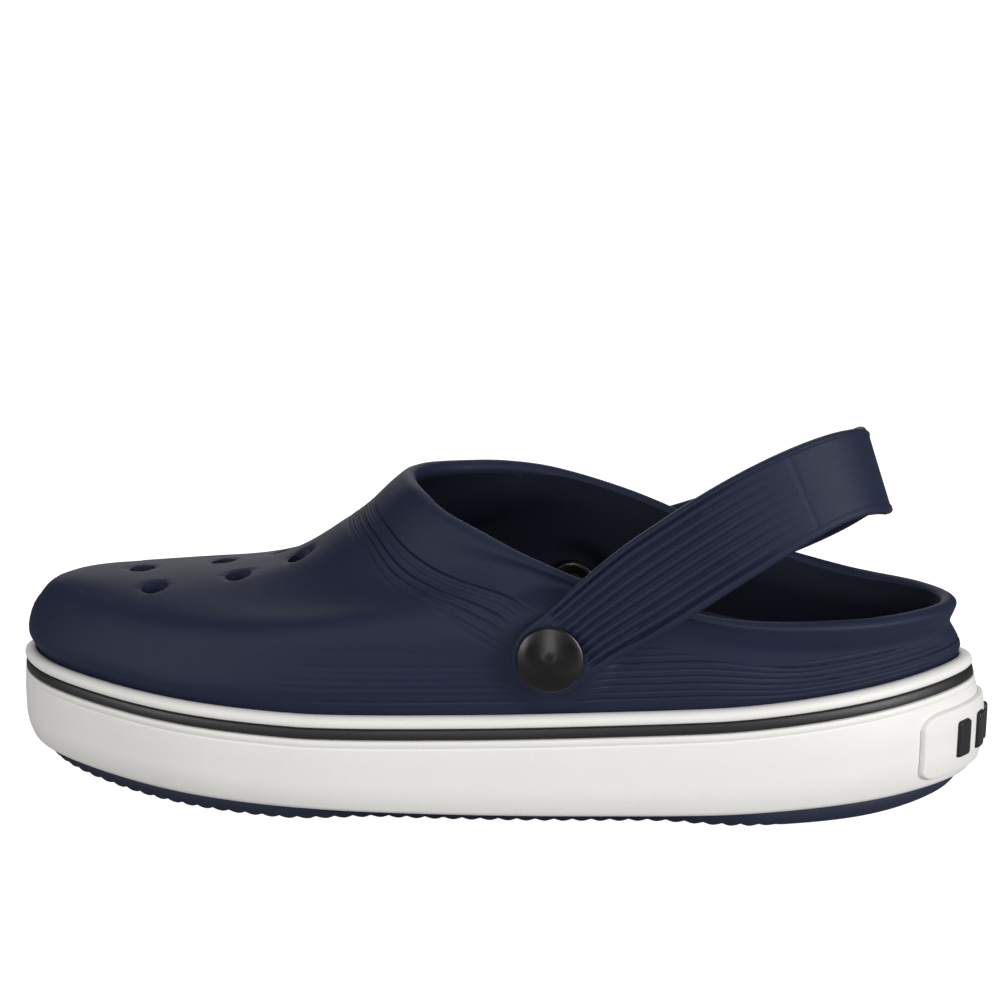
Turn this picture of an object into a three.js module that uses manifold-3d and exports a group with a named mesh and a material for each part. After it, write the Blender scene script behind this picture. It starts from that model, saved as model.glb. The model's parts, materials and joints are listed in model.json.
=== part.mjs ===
// A left-foot foam garden clog: a moulded upper on a white midsole with a black pinstripe, a treaded
// outsole, a loose footbed and a heel strap that swings on two push-in rivets.
// Millimetres. +X points to the toe, +Y to the outer side of the foot, +Z up, ground at z = 0.
import * as THREE from "three";
import { mergeVertices } from "three/addons/utils/BufferGeometryUtils.js";
import Module from "manifold-3d";

const wasm = await Module();
wasm.setup();

// ---------------------------------------------------------------- driving dimensions
const shoe_length = 294;
const shoe_width = 106;
const half_length = shoe_length / 2;
const half_width = shoe_width / 2;
const fit_gap = 0.3; // between pieces that touch
const around = 64; // points in each ring round the shoe

// sole
const midsole_top = 34; // height of the white edge at the ball of the foot
const toe_spring = 5; // how much the sole edge lifts at the toe tip
const wedge_rise = 0.03; // rise of the sole edge per millimetre towards the heel
const heel_lift = 5.5; // extra rise of the white edge round the heel
const heel_tuck = 4.2; // rise of the midsole's underside there
const outsole_height = 5.4; // underside of the midsole above the ground
const toe_rocker = 7.5; // height of the tread at the toe tip
const heel_bevel = 7.2; // height of the tread at the back of the heel
const ball_x = 0.34 * half_length; // where the sole stops being flat, towards the toe
const heel_flat_x = -0.4625 * half_length; // where the heel starts to lift
const rand_width = 2.8; // white rim outside the upper
const undercut = 4.5; // how far the sidewall tucks in at its lower edge
const heel_lean = 4; // how far the sidewall leans in at the top of the heel
const side_lean = 1.2; // the same along the sides and toe

// pinstripe
const bead_height = 3.7; // white bead above the stripe
const stripe_height = 3;
const stripe_depth = 1.2;

// outsole
const outsole_inset = 5; // tread edge inside the midsole edge
const arch_inset = 6; // further inset beside the arch
const arch_front_x = 0.42 * half_length;
const arch_back_x = -0.56 * half_length;
const arch_ease = 34; // length over which the edge moves in and out
const tread_depth = 2;
const tread_groove = 3.2; // width of each groove
const tread_pitch = 11;
const tread_grooves = 23;
const tread_border = 5; // plain edge left outside the grooves

// footbed
const bed_ball = 26; // height of the top of the footbed under the ball
const bed_heel = 36; // and under the heel
const bed_thickness = 4.6;

// upper
const wall = 5; // foam thickness
const rim_roll = 2.6; // radius of the rolled collar edge
const collar_front = 99; // height of the collar at the instep
const collar_dip = 63; // height of the collar on the outer side by the heel
const throat_front_x = 0.163 * half_length; // front of the opening
const throat_back_x = -0.915 * half_length; // back of the opening
const throat_half = 0.736 * half_width; // half width of the opening
const vent_radius = 4;
const vent_step = [-8.5, 18]; // from one hole of a row to the next
const vent_rows = [[118, -24, 3], [93, -27, 3], [66, -12, 2]]; // x and y of the first, how many
const boss_radius = 10; // raised seat moulded on the wall under each strap lobe

// rivets and strap
const pivot_x = -half_length / 7;
const pivot_rise = 20; // of the rivets above the sole edge at the ball
const pivot_z = midsole_top + pivot_rise;
const outer_seat = 0.853 * half_width; // flat of the outer wall under the strap
const inner_seat = -0.811 * half_width; // flat of the inner wall under the strap
const shank_radius = 4;
const head_radius = 9.5;
const head_height = 3.4;
const back_radius = 8;
const back_thickness = 2;
const strap_thickness = 3.5;
const strap_gap = 0.4; // running clearance at each side of a strap lobe
const lobe_radius = 11;
const strap_middle_width = 27;
const strap_back_width = 24;
const strap_reach = 0.609 * half_length; // from the rivets back to the middle of the heel loop
const strap_slope = 0.82; // rise of the outer leg per millimetre at the rivets
const strap_slope_back = 0.6; // and at the heel loop
const strap_inner_slope = 0.32; // rise of the inner leg, which hangs lower
const strap_bow = 2.5; // how far each leg bows outwards past the wall
const strap_tilt = 39; // degrees that the band leans forward at the rivets
const strap_tilt_back = 19; // and at the heel loop
const strap_squareness = 4; // 2 would be an ellipse seen from above

// heel badge
const badge_heights = [0.08, 0.66]; // lower and upper edge, as shares of the sidewall's height
const badge_thickness = 1.2;
const badge_span = 0.075; // half its length, as a share of the way round the shoe
const bar_count = 5;
const bar_pitch = 0.022; // from one bar to the next, as a share of the way round
const bar_half = 0.006; // half the width of a bar, the same way
const bar_heights = [0.22, 0.54];
const bar_thickness = 0.8;

// ---------------------------------------------------------------- outline and rim
// The sole edge from the toe tip along the outer side to the heel and back along the inner side,
// as shares of the half length and half width.
const edge_shares = [
  [1, -0.17], [0.945, 0.19], [0.8, 0.49], [0.58, 0.76], [0.31, 0.9],
  [0.035, 0.91], [-0.24, 0.855], [-0.52, 0.75], [-0.775, 0.535], [-0.94, 0.22],
  [-1, -0.1], [-0.94, -0.42], [-0.775, -0.65], [-0.52, -0.76], [-0.24, -0.81],
  [0.035, -0.87], [0.31, -0.97], [0.56, -0.99], [0.775, -0.84], [0.925, -0.54],
];
// The collar at the same stations: share of the opening's length from its back, share of its half
// width, and share of the collar's height from the heel to the instep.
const rim_shares = [
  [1, -0.06, 1], [0.99, 0.22, 0.99], [0.965, 0.5, 0.94], [0.92, 0.72, 0.8], [0.845, 0.87, 0.645],
  [0.745, 0.96, 0.47], [0.6, 1, 0.24], [0.4, 0.95, 0.035], [0.19, 0.71, -0.01], [0.05, 0.32, -0.01],
  [0, -0.1, -0.01], [0.05, -0.5, 0], [0.19, -0.8, 0.05], [0.4, -0.92, 0.28], [0.6, -0.95, 0.62],
  [0.745, -0.9, 0.82], [0.845, -0.82, 0.9], [0.92, -0.69, 0.945], [0.965, -0.5, 0.98], [0.99, -0.3, 0.995],
];

const closedCurve = (points) => new THREE.CatmullRomCurve3(points, true, "catmullrom", 0.5);
// The badge stands behind the heel, so the sole lies half its thickness forward of the middle.
const badge_stack = 2 * fit_gap + badge_thickness + bar_thickness;
const edge_curve = closedCurve(
  edge_shares.map(
    ([along, side]) => new THREE.Vector3(along * half_length + badge_stack / 2, side * half_width, 0),
  ),
);
const throat_length = throat_front_x - throat_back_x;
const rim_curve = closedCurve(
  rim_shares.map(
    ([along, side, up]) =>
      new THREE.Vector3(
        throat_back_x + along * throat_length,
        side * throat_half,
        collar_dip + up * (collar_front - collar_dip),
      ),
  ),
);

const past = (value, start, span) => Math.max(0, (value - start) / span);
const mix = THREE.MathUtils.lerp;
const smooth = THREE.MathUtils.smoothstep;
const toeShare = (x) => past(x, ball_x, half_length - ball_x);
const heelShare = (x) => past(-x, -heel_flat_x, half_length + heel_flat_x);

const treadZ = (x) => toe_rocker * toeShare(x) ** 3.2 + heel_bevel * heelShare(x) ** 4;
const heelRise = (x) => heelShare(x) ** 1.6;
const midsoleBottom = (x) =>
  outsole_height + toe_spring * toeShare(x) ** 2 + heel_tuck * heelRise(x);
const midsoleTop = (x) =>
  midsole_top +
  toe_spring * toeShare(x) ** 2 +
  wedge_rise * Math.max(0, ball_x - x) +
  heel_lift * heelRise(x);
const bedTop = (x) => mix(bed_heel, bed_ball, smooth(x, -70, 45)) + 0.5 * toe_spring * toeShare(x) ** 2;
const cupFloor = (x) => bedTop(x) - bed_thickness - fit_gap;

// A point of the sole edge at u (0 at the toe tip, 0.5 at the heel), moved inwards by an inset.
function edgePoint(u, inset = 0) {
  const p = edge_curve.getPoint(u);
  const t = edge_curve.getTangent(u);
  return new THREE.Vector3(p.x - t.y * inset, p.y + t.x * inset, 0);
}
// How far the sidewall stands inside the widest line at a share of its height.
function sidewallInset(u, share) {
  const heel = smooth(-Math.cos(2 * Math.PI * u), 0.6, 1);
  const lean = mix(side_lean, heel_lean, heel);
  return undercut * Math.max(0, 1 - share / 0.3) ** 2 + lean * past(share, 0.5, 0.5) ** 1.5;
}
// A point of the white sidewall at a height share between the midsole's bottom and top.
function sidewallPoint(u, share, inset = 0) {
  const p = edgePoint(u, inset + sidewallInset(u, share));
  p.z = mix(midsoleBottom(p.x), midsoleTop(p.x), share);
  return p;
}

// ---------------------------------------------------------------- solids
function geometryOf(vertices, triangles) {
  const geometry = new THREE.BufferGeometry();
  geometry.setAttribute("position", new THREE.Float32BufferAttribute(vertices.flatMap((v) => v.toArray()), 3));
  geometry.setIndex(triangles);
  return geometry;
}
// A closed solid from rings of equal length. The two end rings are joined to each other when it
// is a hoop, and each is closed across its width when it isn't.
function loft(rings, hoop = false) {
  const n = rings[0].length;
  const vertices = rings.flat();
  const triangles = [];
  const quad = (a, b, c, d) => triangles.push(a, b, c, a, c, d);
  const steps = hoop ? rings.length : rings.length - 1;
  for (let r = 0; r < steps; r++) {
    const low = r * n;
    const high = ((r + 1) % rings.length) * n;
    for (let i = 0; i < n; i++) {
      const j = (i + 1) % n;
      quad(low + i, low + j, high + j, high + i);
    }
  }
  if (!hoop) {
    const last = (rings.length - 1) * n;
    for (const [start, flip] of [[0, true], [last, false]]) {
      for (let i = 0; i < n / 2; i++) {
        const corners = [i, i + 1, n - i - 1, (n - i) % n].map((k) => start + k);
        const face = [...new Set(corners)];
        if (flip) face.reverse();
        if (face.length === 3) triangles.push(...face);
        else quad(...face);
      }
    }
  }
  return solidOf(geometryOf(vertices, triangles));
}
// A manifold solid of a closed geometry, turned so that its faces point out.
function solidOf(geometry) {
  const bare = geometry.clone();
  bare.deleteAttribute("normal");
  bare.deleteAttribute("uv");
  const merged = mergeVertices(bare, 1e-4);
  const build = (triVerts) =>
    new wasm.Manifold(
      new wasm.Mesh({ numProp: 3, vertProperties: merged.attributes.position.array, triVerts }),
    );
  const corners = [];
  for (let i = 0; i < merged.index.count; i += 3) {
    const [a, b, c] = merged.index.array.slice(i, i + 3);
    if (a !== b && b !== c && c !== a) corners.push(a, b, c); // a lathe's ends hold slivers
  }
  const triVerts = new Uint32Array(corners);
  const made = build(triVerts);
  return made.volume() < 0 ? build(triVerts.reverse()) : made;
}
function meshOf(name, solid, material) {
  const { vertProperties, triVerts } = solid.getMesh();
  const geometry = new THREE.BufferGeometry();
  geometry.setAttribute("position", new THREE.BufferAttribute(vertProperties, 3));
  geometry.setIndex(new THREE.BufferAttribute(triVerts, 1));
  geometry.computeVertexNormals();
  const mesh = new THREE.Mesh(geometry, material);
  mesh.name = name;
  return mesh;
}
const ring = (pointAt) => Array.from({ length: around }, (_, i) => pointAt(i / around));

// A round solid along Y: radius and y pairs from one end to the other, about a centre x and z.
function turned(profile, x, z, segments = 24) {
  const points = profile.map(([radius, y]) => new THREE.Vector2(radius, y));
  return solidOf(new THREE.LatheGeometry(points, segments).translate(x, 0, z));
}
const rod = (radius, y0, y1, x = pivot_x, z = pivot_z) =>
  turned([[0, y0], [radius, y0], [radius, y1], [0, y1]], x, z);

// ---------------------------------------------------------------- sole
const stripeTop = (x) => 1 - bead_height / (midsoleTop(x) - midsoleBottom(x));
const stripeBottom = (x) => 1 - (bead_height + stripe_height) / (midsoleTop(x) - midsoleBottom(x));

function makeMidsole() {
  const cup = rand_width;
  const at = (inset, shareAt, dz = 0) =>
    ring((u) => {
      const x = edgePoint(u).x;
      const p = sidewallPoint(u, shareAt(x), inset);
      p.z += dz;
      return p;
    });
  const fixed = (share, inset = 0) => at(inset, () => share);
  const inside = (inset, zAt) =>
    ring((u) => {
      const p = edgePoint(u, inset + sidewallInset(u, 1));
      p.z = zAt(p.x);
      return p;
    });
  return loft([
    fixed(0, 0.8),
    fixed(0.06),
    fixed(0.15),
    fixed(0.28),
    fixed(0.5),
    at(0, stripeBottom, -fit_gap),
    at(stripe_depth + fit_gap, stripeBottom, -fit_gap),
    at(stripe_depth + fit_gap, stripeTop, fit_gap),
    at(-0.2, stripeTop, fit_gap),
    fixed(0.96, -0.5),
    fixed(1, 1.2),
    fixed(1, cup - 1.2),
    inside(cup, (x) => midsoleTop(x) - 1),
    inside(cup, cupFloor),
  ]);
}

function makePinstripe() {
  const at = (inset, shareAt) =>
    ring((u) => sidewallPoint(u, shareAt(edgePoint(u).x), inset));
  return loft([at(0, stripeBottom), at(0, stripeTop), at(stripe_depth, stripeTop), at(stripe_depth, stripeBottom)], true);
}

function makeOutsole() {
  const arch = (x) => smooth(arch_front_x - x, 0, arch_ease) * smooth(x - arch_back_x, 0, arch_ease);
  const at = (inset, zAt) =>
    ring((u) => {
      const p = edgePoint(u, outsole_inset + inset + arch_inset * arch(edgePoint(u).x));
      p.z = zAt(p.x);
      return p;
    });
  const top = (x) => midsoleBottom(x) - fit_gap;
  const blank = loft([
    at(3, treadZ),
    at(1.2, (x) => mix(treadZ(x), top(x), 0.3)),
    at(0.6, (x) => mix(treadZ(x), top(x), 0.8)),
    at(0.8, top),
  ]);
  const field = loft([at(3 + tread_border, (x) => treadZ(x) - 2 * tread_depth), at(3 + tread_border, top)]);
  return Array.from({ length: tread_grooves }, (_, i) => {
    const x = (i - (tread_grooves - 1) / 2) * tread_pitch;
    const cutter = new THREE.BoxGeometry(tread_groove, 2 * shoe_width, 2 * tread_depth);
    return solidOf(cutter.translate(x, 0, treadZ(x))).intersect(field);
  }).reduce((body, cutter) => body.subtract(cutter), blank);
}

function makeFootbed() {
  const inset = rand_width + fit_gap + wall + 2 * fit_gap;
  const at = (extra, zAt) =>
    ring((u) => {
      const p = edgePoint(u, inset + extra + sidewallInset(u, 1));
      p.z = zAt(p.x);
      return p;
    });
  return loft([
    at(0.8, (x) => cupFloor(x) + fit_gap),
    at(0, (x) => bedTop(x) - 1),
    at(1.2, bedTop),
  ]);
}

// ---------------------------------------------------------------- upper
// Each profile runs from the sole edge up to the collar: share of the way across to the collar,
// millimetres outwards, share of the way up.
const toe_profile = [
  [0, 0, 0], [0, 2.4, 0.1], [0.018, 1, 0.255], [0.1, 0, 0.38], [0.38, 0, 0.43],
  [0.65, 0, 0.51], [0.845, 0, 0.735], [0.945, 0, 0.91], [1, 0, 1],
];
const side_profile = [
  [0, 0, 0], [0, 1, 0.18], [0, 1.5, 0.4], [0.1, 1.5, 0.58], [0.4, 1.4, 0.72],
  [0.75, 1.6, 0.83], [1, 1.8, 0.9], [1, 2.6, 0.96], [1, 0, 1],
];
const heel_profile = [
  [0, 0, 0], [0.1, 1, 0.16], [0.3, 0.8, 0.3], [0.55, 0.6, 0.42], [0.8, 0.4, 0.54],
  [0.95, 0.6, 0.64], [1, 1.4, 0.76], [1, 2.4, 0.9], [1, 0, 1],
];

const upper_inset = rand_width + fit_gap;
const rowsUp = toe_profile.length - 1;

// Control points of the outer face at u, from the sole edge to the top of the collar.
function upperProfile(u) {
  const foot = edgePoint(u, upper_inset + sidewallInset(u, 1));
  foot.z = midsoleTop(foot.x);
  const out = edgePoint(u, -1).sub(edgePoint(u, 0));
  const top = rim_curve.getPoint(u);
  const front = smooth(Math.cos(2 * Math.PI * u), -0.1, 0.75);
  const back = smooth(-Math.cos(2 * Math.PI * u), 0.35, 0.95);
  return side_profile.map((side, row) => {
    const [across, push, up] = side.map((value, k) =>
      mix(mix(value, toe_profile[row][k], front), heel_profile[row][k], back),
    );
    const p = foot.clone().lerp(top, across).addScaledVector(out, push);
    p.z = mix(foot.z, top.z, up);
    return p;
  });
}
const outer_steps = 14;
function outerPoint(u, share) {
  return new THREE.CatmullRomCurve3(upperProfile(u), false, "catmullrom", 0.5).getPoint(share);
}
function outerNormal(u, share) {
  const step = 0.004;
  const along = outerPoint((u + step) % 1, share).sub(outerPoint((u + 1 - step) % 1, share));
  const up = outerPoint(u, Math.min(1, share + step)).sub(outerPoint(u, Math.max(0, share - step)));
  return along.cross(up).normalize();
}
function makeUpper() {
  const roll_share = 1 - 0.6 / rowsUp;
  const shares = Array.from({ length: outer_steps + 1 }, (_, i) => (roll_share * i) / outer_steps);
  const outer = shares.map((s) => ring((u) => outerPoint(u, s)));
  const inner = shares
    .filter((_, i) => i % 2 === 0)
    .map((s) => ring((u) => outerPoint(u, s).addScaledVector(outerNormal(u, s), -wall)));
  const down = (rings) => rings.map((p) => new THREE.Vector3(p.x, p.y, cupFloor(p.x) + fit_gap));
  const roll = [0.3, 0.7].map((turn) =>
    ring((u) => {
      const last = outerPoint(u, roll_share);
      const normal = outerNormal(u, roll_share);
      const up = outerPoint(u, roll_share + 0.004).sub(last).normalize();
      return last
        .addScaledVector(normal, (-wall * (1 - Math.cos(Math.PI * turn))) / 2)
        .addScaledVector(up, rim_roll * Math.sin(Math.PI * turn));
    }),
  );
  const under = down(inner[0]);
  return cut(loft([down(outer[0]), ...outer, ...roll, ...inner.reverse(), under], true));
}
// Adds the rivet bosses, then cuts the rivet bores, the flats on both faces of the wall round
// them, and the vent holes.
function cut(shell) {
  const bosses = [outer_seat - wall + 1, inner_seat].map((y) => rod(boss_radius, y, y + wall - 1));
  const bore = rod(shank_radius + fit_gap, -shoe_width, shoe_width);
  const flats = [1, -1].flatMap((side) => {
    const { seat, inside } = rivetSeat(side);
    const behind = [inside + fit_gap, inside - 4 * back_thickness].map((y) => side * y);
    const outside = [seat, seat + wall].map((y) => side * y);
    return [
      rod(back_radius + 1, Math.min(...behind), Math.max(...behind)),
      rod(lobe_radius + 1, Math.min(...outside), Math.max(...outside)),
    ];
  });
  const vents = vent_rows.flatMap(([x, y, count]) =>
    Array.from({ length: count }, (_, i) => {
      const bit = new THREE.CylinderGeometry(vent_radius, vent_radius, collar_front, 20);
      bit.rotateX(Math.PI / 2);
      return solidOf(bit.translate(x + i * vent_step[0], y + i * vent_step[1], collar_front));
    }),
  );
  const whole = bosses.reduce((body, boss) => body.add(boss), shell);
  return [bore, ...flats, ...vents].reduce((body, cutter) => body.subtract(cutter), whole);
}

// ---------------------------------------------------------------- strap
function strapCentre(turn) {
  const bend = 2 / strap_squareness;
  const back = strap_reach * Math.sin(turn) ** bend;
  const outer = outer_seat + strap_gap + strap_thickness / 2;
  const inner = inner_seat - strap_gap - strap_thickness / 2;
  const cosine = Math.cos(turn);
  const side = Math.sign(cosine) * Math.abs(cosine) ** bend;
  const bow = (strap_slope - strap_slope_back) / (2 * strap_reach);
  const outer_rise = strap_slope * back - bow * back * back;
  const inner_rise = strap_inner_slope * back;
  const past_lobe = Math.max(0, back - lobe_radius) / (strap_reach - lobe_radius);
  const bulge = strap_bow * Math.sin(Math.PI * past_lobe);
  return new THREE.Vector3(
    pivot_x - back,
    (outer + inner) / 2 + (side * (outer - inner)) / 2 + Math.sign(cosine) * bulge,
    pivot_z + mix(outer_rise, inner_rise, (1 - cosine) / 2),
  );
}
function makeStrap() {
  const samples = 38;
  const turns = Array.from({ length: 201 }, (_, i) => (Math.PI * i) / 200);
  const path = new THREE.CatmullRomCurve3(turns.map(strapCentre));
  path.arcLengthDivisions = 800;
  const rings = Array.from({ length: samples + 1 }, (_, i) => {
    const centre = path.getPointAt(i / samples);
    const tangent = path.getTangentAt(i / samples);
    const back = (pivot_x - centre.x) / strap_reach;
    const tilt = THREE.MathUtils.degToRad(mix(strap_tilt, strap_tilt_back, back));
    const across = new THREE.Vector3(Math.sin(tilt), 0, Math.cos(tilt));
    across.addScaledVector(tangent, -across.dot(tangent)).normalize();
    const out = tangent.clone().cross(across);
    const leg = smooth(back, 0, 0.35);
    const width = mix(mix(2 * lobe_radius, strap_middle_width, leg), strap_back_width, smooth(back, 0.5, 1));
    const edge = 0.8;
    const half = [width / 2, strap_thickness / 2];
    return [
      [half[0], half[1] - edge], [half[0] - edge, half[1]], [edge - half[0], half[1]], [-half[0], half[1] - edge],
      [-half[0], edge - half[1]], [edge - half[0], -half[1]], [half[0] - edge, -half[1]], [half[0], edge - half[1]],
    ].map(([w, t]) => centre.clone().addScaledVector(across, w).addScaledVector(out, t));
  });
  const lobes = [outer_seat + strap_gap, inner_seat - strap_gap - strap_thickness].map((y) =>
    rod(lobe_radius, y, y + strap_thickness),
  );
  const bore = rod(shank_radius + strap_gap, -shoe_width, shoe_width);
  return loft(rings).add(lobes[0]).add(lobes[1]).subtract(bore);
}

// ---------------------------------------------------------------- rivets
// side is 1 on the outer face of the shoe and -1 on the inner one.
function rivetSeat(side) {
  const seat = side > 0 ? outer_seat : -inner_seat;
  const under = seat + 2 * strap_gap + strap_thickness;
  const inside = seat - wall - fit_gap;
  return { seat, under, inside };
}
function makeRivetHead(side) {
  const { under, inside } = rivetSeat(side);
  const rim = 1;
  const crown = head_height - rim;
  const radius = (head_radius ** 2 + crown ** 2) / (2 * crown);
  const top = Math.asin(head_radius / radius);
  const dome_steps = 5;
  const dome = Array.from({ length: dome_steps }, (_, i) => {
    const angle = top * (1 - i / dome_steps);
    return [radius * Math.sin(angle), under + rim + radius * Math.cos(angle) - radius + crown];
  });
  const profile = [
    [0, inside - back_thickness], [shank_radius, inside - back_thickness], [shank_radius, under],
    [head_radius, under], ...dome, [0, under + head_height],
  ];
  return turned(profile.map(([radius_, y]) => [radius_, side * y]), pivot_x, pivot_z, 28);
}
function makeRivetBack(side) {
  const { inside } = rivetSeat(side);
  const end = inside - back_thickness;
  const profile = [[0, inside], [back_radius, inside], [back_radius - 0.6, end], [0, end]];
  const disc = turned(profile.map(([r, y]) => [r, side * y]), pivot_x, pivot_z);
  return disc.subtract(rod(shank_radius + fit_gap, -shoe_width, shoe_width));
}

// ---------------------------------------------------------------- heel badge
// A plate that follows the sidewall from one place round the shoe to another, between two height
// shares and two distances from the wall.
function wrapPlate([from, to], [low, high], [near, far], steps) {
  const rows = 6;
  const heights = Array.from({ length: rows }, (_, i) => mix(low, high, i / (rows - 1)));
  return loft(
    Array.from({ length: steps + 1 }, (_, i) => {
      const u = mix(from, to, i / steps);
      const outside = heights.map((share) => sidewallPoint(u, share, -far));
      const inside = heights.map((share) => sidewallPoint(u, share, -near));
      return [...outside, ...inside.reverse()];
    }),
  );
}
const makeBadge = () =>
  wrapPlate([0.5 - badge_span, 0.5 + badge_span], badge_heights, [fit_gap, fit_gap + badge_thickness], 12);
function makeBar(index) {
  const middle = 0.5 + (index - (bar_count - 1) / 2) * bar_pitch;
  const face = badge_stack - bar_thickness;
  return wrapPlate([middle - bar_half, middle + bar_half], bar_heights, [face, badge_stack], 2);
}

// ---------------------------------------------------------------- materials and assembly
const finish = (color, roughness) => new THREE.MeshStandardMaterial({ color, roughness, metalness: 0 });
const navy_foam = finish(0x232b45, 0.6);
const white_rubber = finish(0xe9e8e6, 0.55);
const black_rubber = finish(0x121214, 0.5);
const navy_rubber = finish(0x1b2036, 0.7);
const black_plastic = finish(0x141416, 0.3);

const clog = new THREE.Group();
clog.add(meshOf("midsole", makeMidsole(), white_rubber));
clog.add(meshOf("pinstripe", makePinstripe(), black_rubber));
clog.add(meshOf("outsole", makeOutsole(), navy_rubber));
clog.add(meshOf("footbed", makeFootbed(), navy_foam));
clog.add(meshOf("heel_badge", makeBadge(), white_rubber));
for (let i = 0; i < bar_count; i++) clog.add(meshOf(`badge_bar_${i + 1}`, makeBar(i), black_rubber));
clog.add(meshOf("upper", makeUpper(), navy_foam));
clog.add(meshOf("heel_strap", makeStrap(), navy_foam));
for (const [name, side] of [["outer", 1], ["inner", -1]]) {
  clog.add(meshOf(`rivet_${name}`, makeRivetHead(side), black_plastic));
  clog.add(meshOf(`rivet_back_${name}`, makeRivetBack(side), black_plastic));
}

export default clog;
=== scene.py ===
"""A foam garden clog: smooth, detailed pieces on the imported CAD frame, a stage and a camera."""

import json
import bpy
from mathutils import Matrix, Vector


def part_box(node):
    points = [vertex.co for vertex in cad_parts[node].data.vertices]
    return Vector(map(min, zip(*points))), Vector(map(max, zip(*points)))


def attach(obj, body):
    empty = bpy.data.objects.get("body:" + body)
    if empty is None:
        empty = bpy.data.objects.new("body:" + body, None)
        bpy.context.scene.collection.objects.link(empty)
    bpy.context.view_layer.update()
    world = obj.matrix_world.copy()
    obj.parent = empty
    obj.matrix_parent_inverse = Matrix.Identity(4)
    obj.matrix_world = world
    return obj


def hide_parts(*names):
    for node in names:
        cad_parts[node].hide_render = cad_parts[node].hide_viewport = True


bl_info = {
    "name": "Garden Clog",
    "version": (1, 0, 0),
    "blender": (4, 5, 0),
    "location": "View3D > Sidebar > Clog",
    "description": "Builds a moulded foam clog with a swinging heel strap, piece by piece",
    "category": "Add Mesh",
}

import bmesh
import bpy
import numpy as np
from bpy.props import FloatProperty, FloatVectorProperty, PointerProperty
from mathutils import Matrix, Vector

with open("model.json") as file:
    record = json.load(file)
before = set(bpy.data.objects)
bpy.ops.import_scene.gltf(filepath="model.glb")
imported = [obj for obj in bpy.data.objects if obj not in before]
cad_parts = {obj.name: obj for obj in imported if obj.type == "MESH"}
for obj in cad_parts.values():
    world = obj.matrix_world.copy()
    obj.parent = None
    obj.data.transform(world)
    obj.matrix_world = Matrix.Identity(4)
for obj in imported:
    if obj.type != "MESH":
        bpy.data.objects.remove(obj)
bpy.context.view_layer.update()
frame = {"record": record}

# --------------------- sizes shared with the CAD, in mm
MM = 0.001
SOLE_LOW, SOLE_HIGH = (1000 * np.array(corner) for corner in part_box("midsole"))
HALF_LENGTH = (SOLE_HIGH[0] - SOLE_LOW[0]) / 2
MIDDLE_X = (SOLE_HIGH[0] + SOLE_LOW[0]) / 2
HALF_WIDTH = 53.0
GAP = 0.3
PIVOT_X, _, PIVOT_Z = (1000 * v for v in frame["record"]["behaviour"]["joints"][0]["pos_m"])

MIDSOLE_TOP, TOE_SPRING, WEDGE_RISE = 34.0, 5.0, 0.03
HEEL_LIFT, HEEL_TUCK, OUTSOLE_HEIGHT = 5.5, 4.2, 5.4
TOE_ROCKER, HEEL_BEVEL = 7.5, 7.2
BALL_X, HEEL_FLAT_X = 0.34 * HALF_LENGTH, -0.4625 * HALF_LENGTH
RAND_WIDTH, UNDERCUT, HEEL_LEAN, SIDE_LEAN = 2.8, 2.2, 4.0, 1.2
BEAD_HEIGHT, STRIPE_HEIGHT, STRIPE_DEPTH = 3.7, 3.0, 1.2
OUTSOLE_INSET, ARCH_INSET, ARCH_EASE = 5.0, 6.0, 34.0
ARCH_FRONT_X, ARCH_BACK_X = 0.42 * HALF_LENGTH, -0.56 * HALF_LENGTH
TREAD_DEPTH, TREAD_GROOVE, TREAD_PITCH, TREAD_BORDER = 2.0, 3.2, 11.0, 5.0
BED_BALL, BED_HEEL, BED_THICKNESS = 26.0, 36.0, 4.6
WALL, RIM_ROLL = 5.0, 2.6
COLLAR_FRONT, COLLAR_DIP = 99.0, 63.0
THROAT_FRONT_X, THROAT_BACK_X = 0.163 * HALF_LENGTH, -0.915 * HALF_LENGTH
THROAT_HALF = 0.736 * HALF_WIDTH
LINE_START = 16.4
VENT_RADIUS, VENT_STEP = 4.0, (-8.5, 18.0)
VENT_ROWS = ((118.0, -24.0, 3), (93.0, -27.0, 3), (66.0, -12.0, 2))
OUTER_SEAT, INNER_SEAT = 0.853 * HALF_WIDTH, -0.811 * HALF_WIDTH
HEAD_RADIUS, HEAD_HEIGHT, SHANK_RADIUS = 9.5, 3.4, 4.0
BACK_RADIUS, BACK_THICKNESS = 8.0, 2.0
STRAP_THICKNESS, STRAP_GAP, LOBE_RADIUS = 3.5, 0.4, 11.0
STRAP_MIDDLE_WIDTH, STRAP_BACK_WIDTH = 27.0, 24.0
STRAP_REACH = 0.609 * HALF_LENGTH
STRAP_SLOPE, STRAP_SLOPE_BACK, STRAP_INNER_SLOPE = 0.82, 0.6, 0.32
STRAP_BOW, STRAP_TILT, STRAP_TILT_BACK, STRAP_SQUARENESS = 2.5, 39.0, 19.0, 4.0
BADGE_LOW, BADGE_HIGH, BADGE_THICKNESS, BADGE_SPAN = 0.08, 0.66, 1.2, 0.075
BAR_COUNT, BAR_PITCH, BAR_HALF, BAR_THICKNESS = 5, 0.022, 0.006, 0.8
BAR_LOW, BAR_HIGH = 0.22, 0.54

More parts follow.
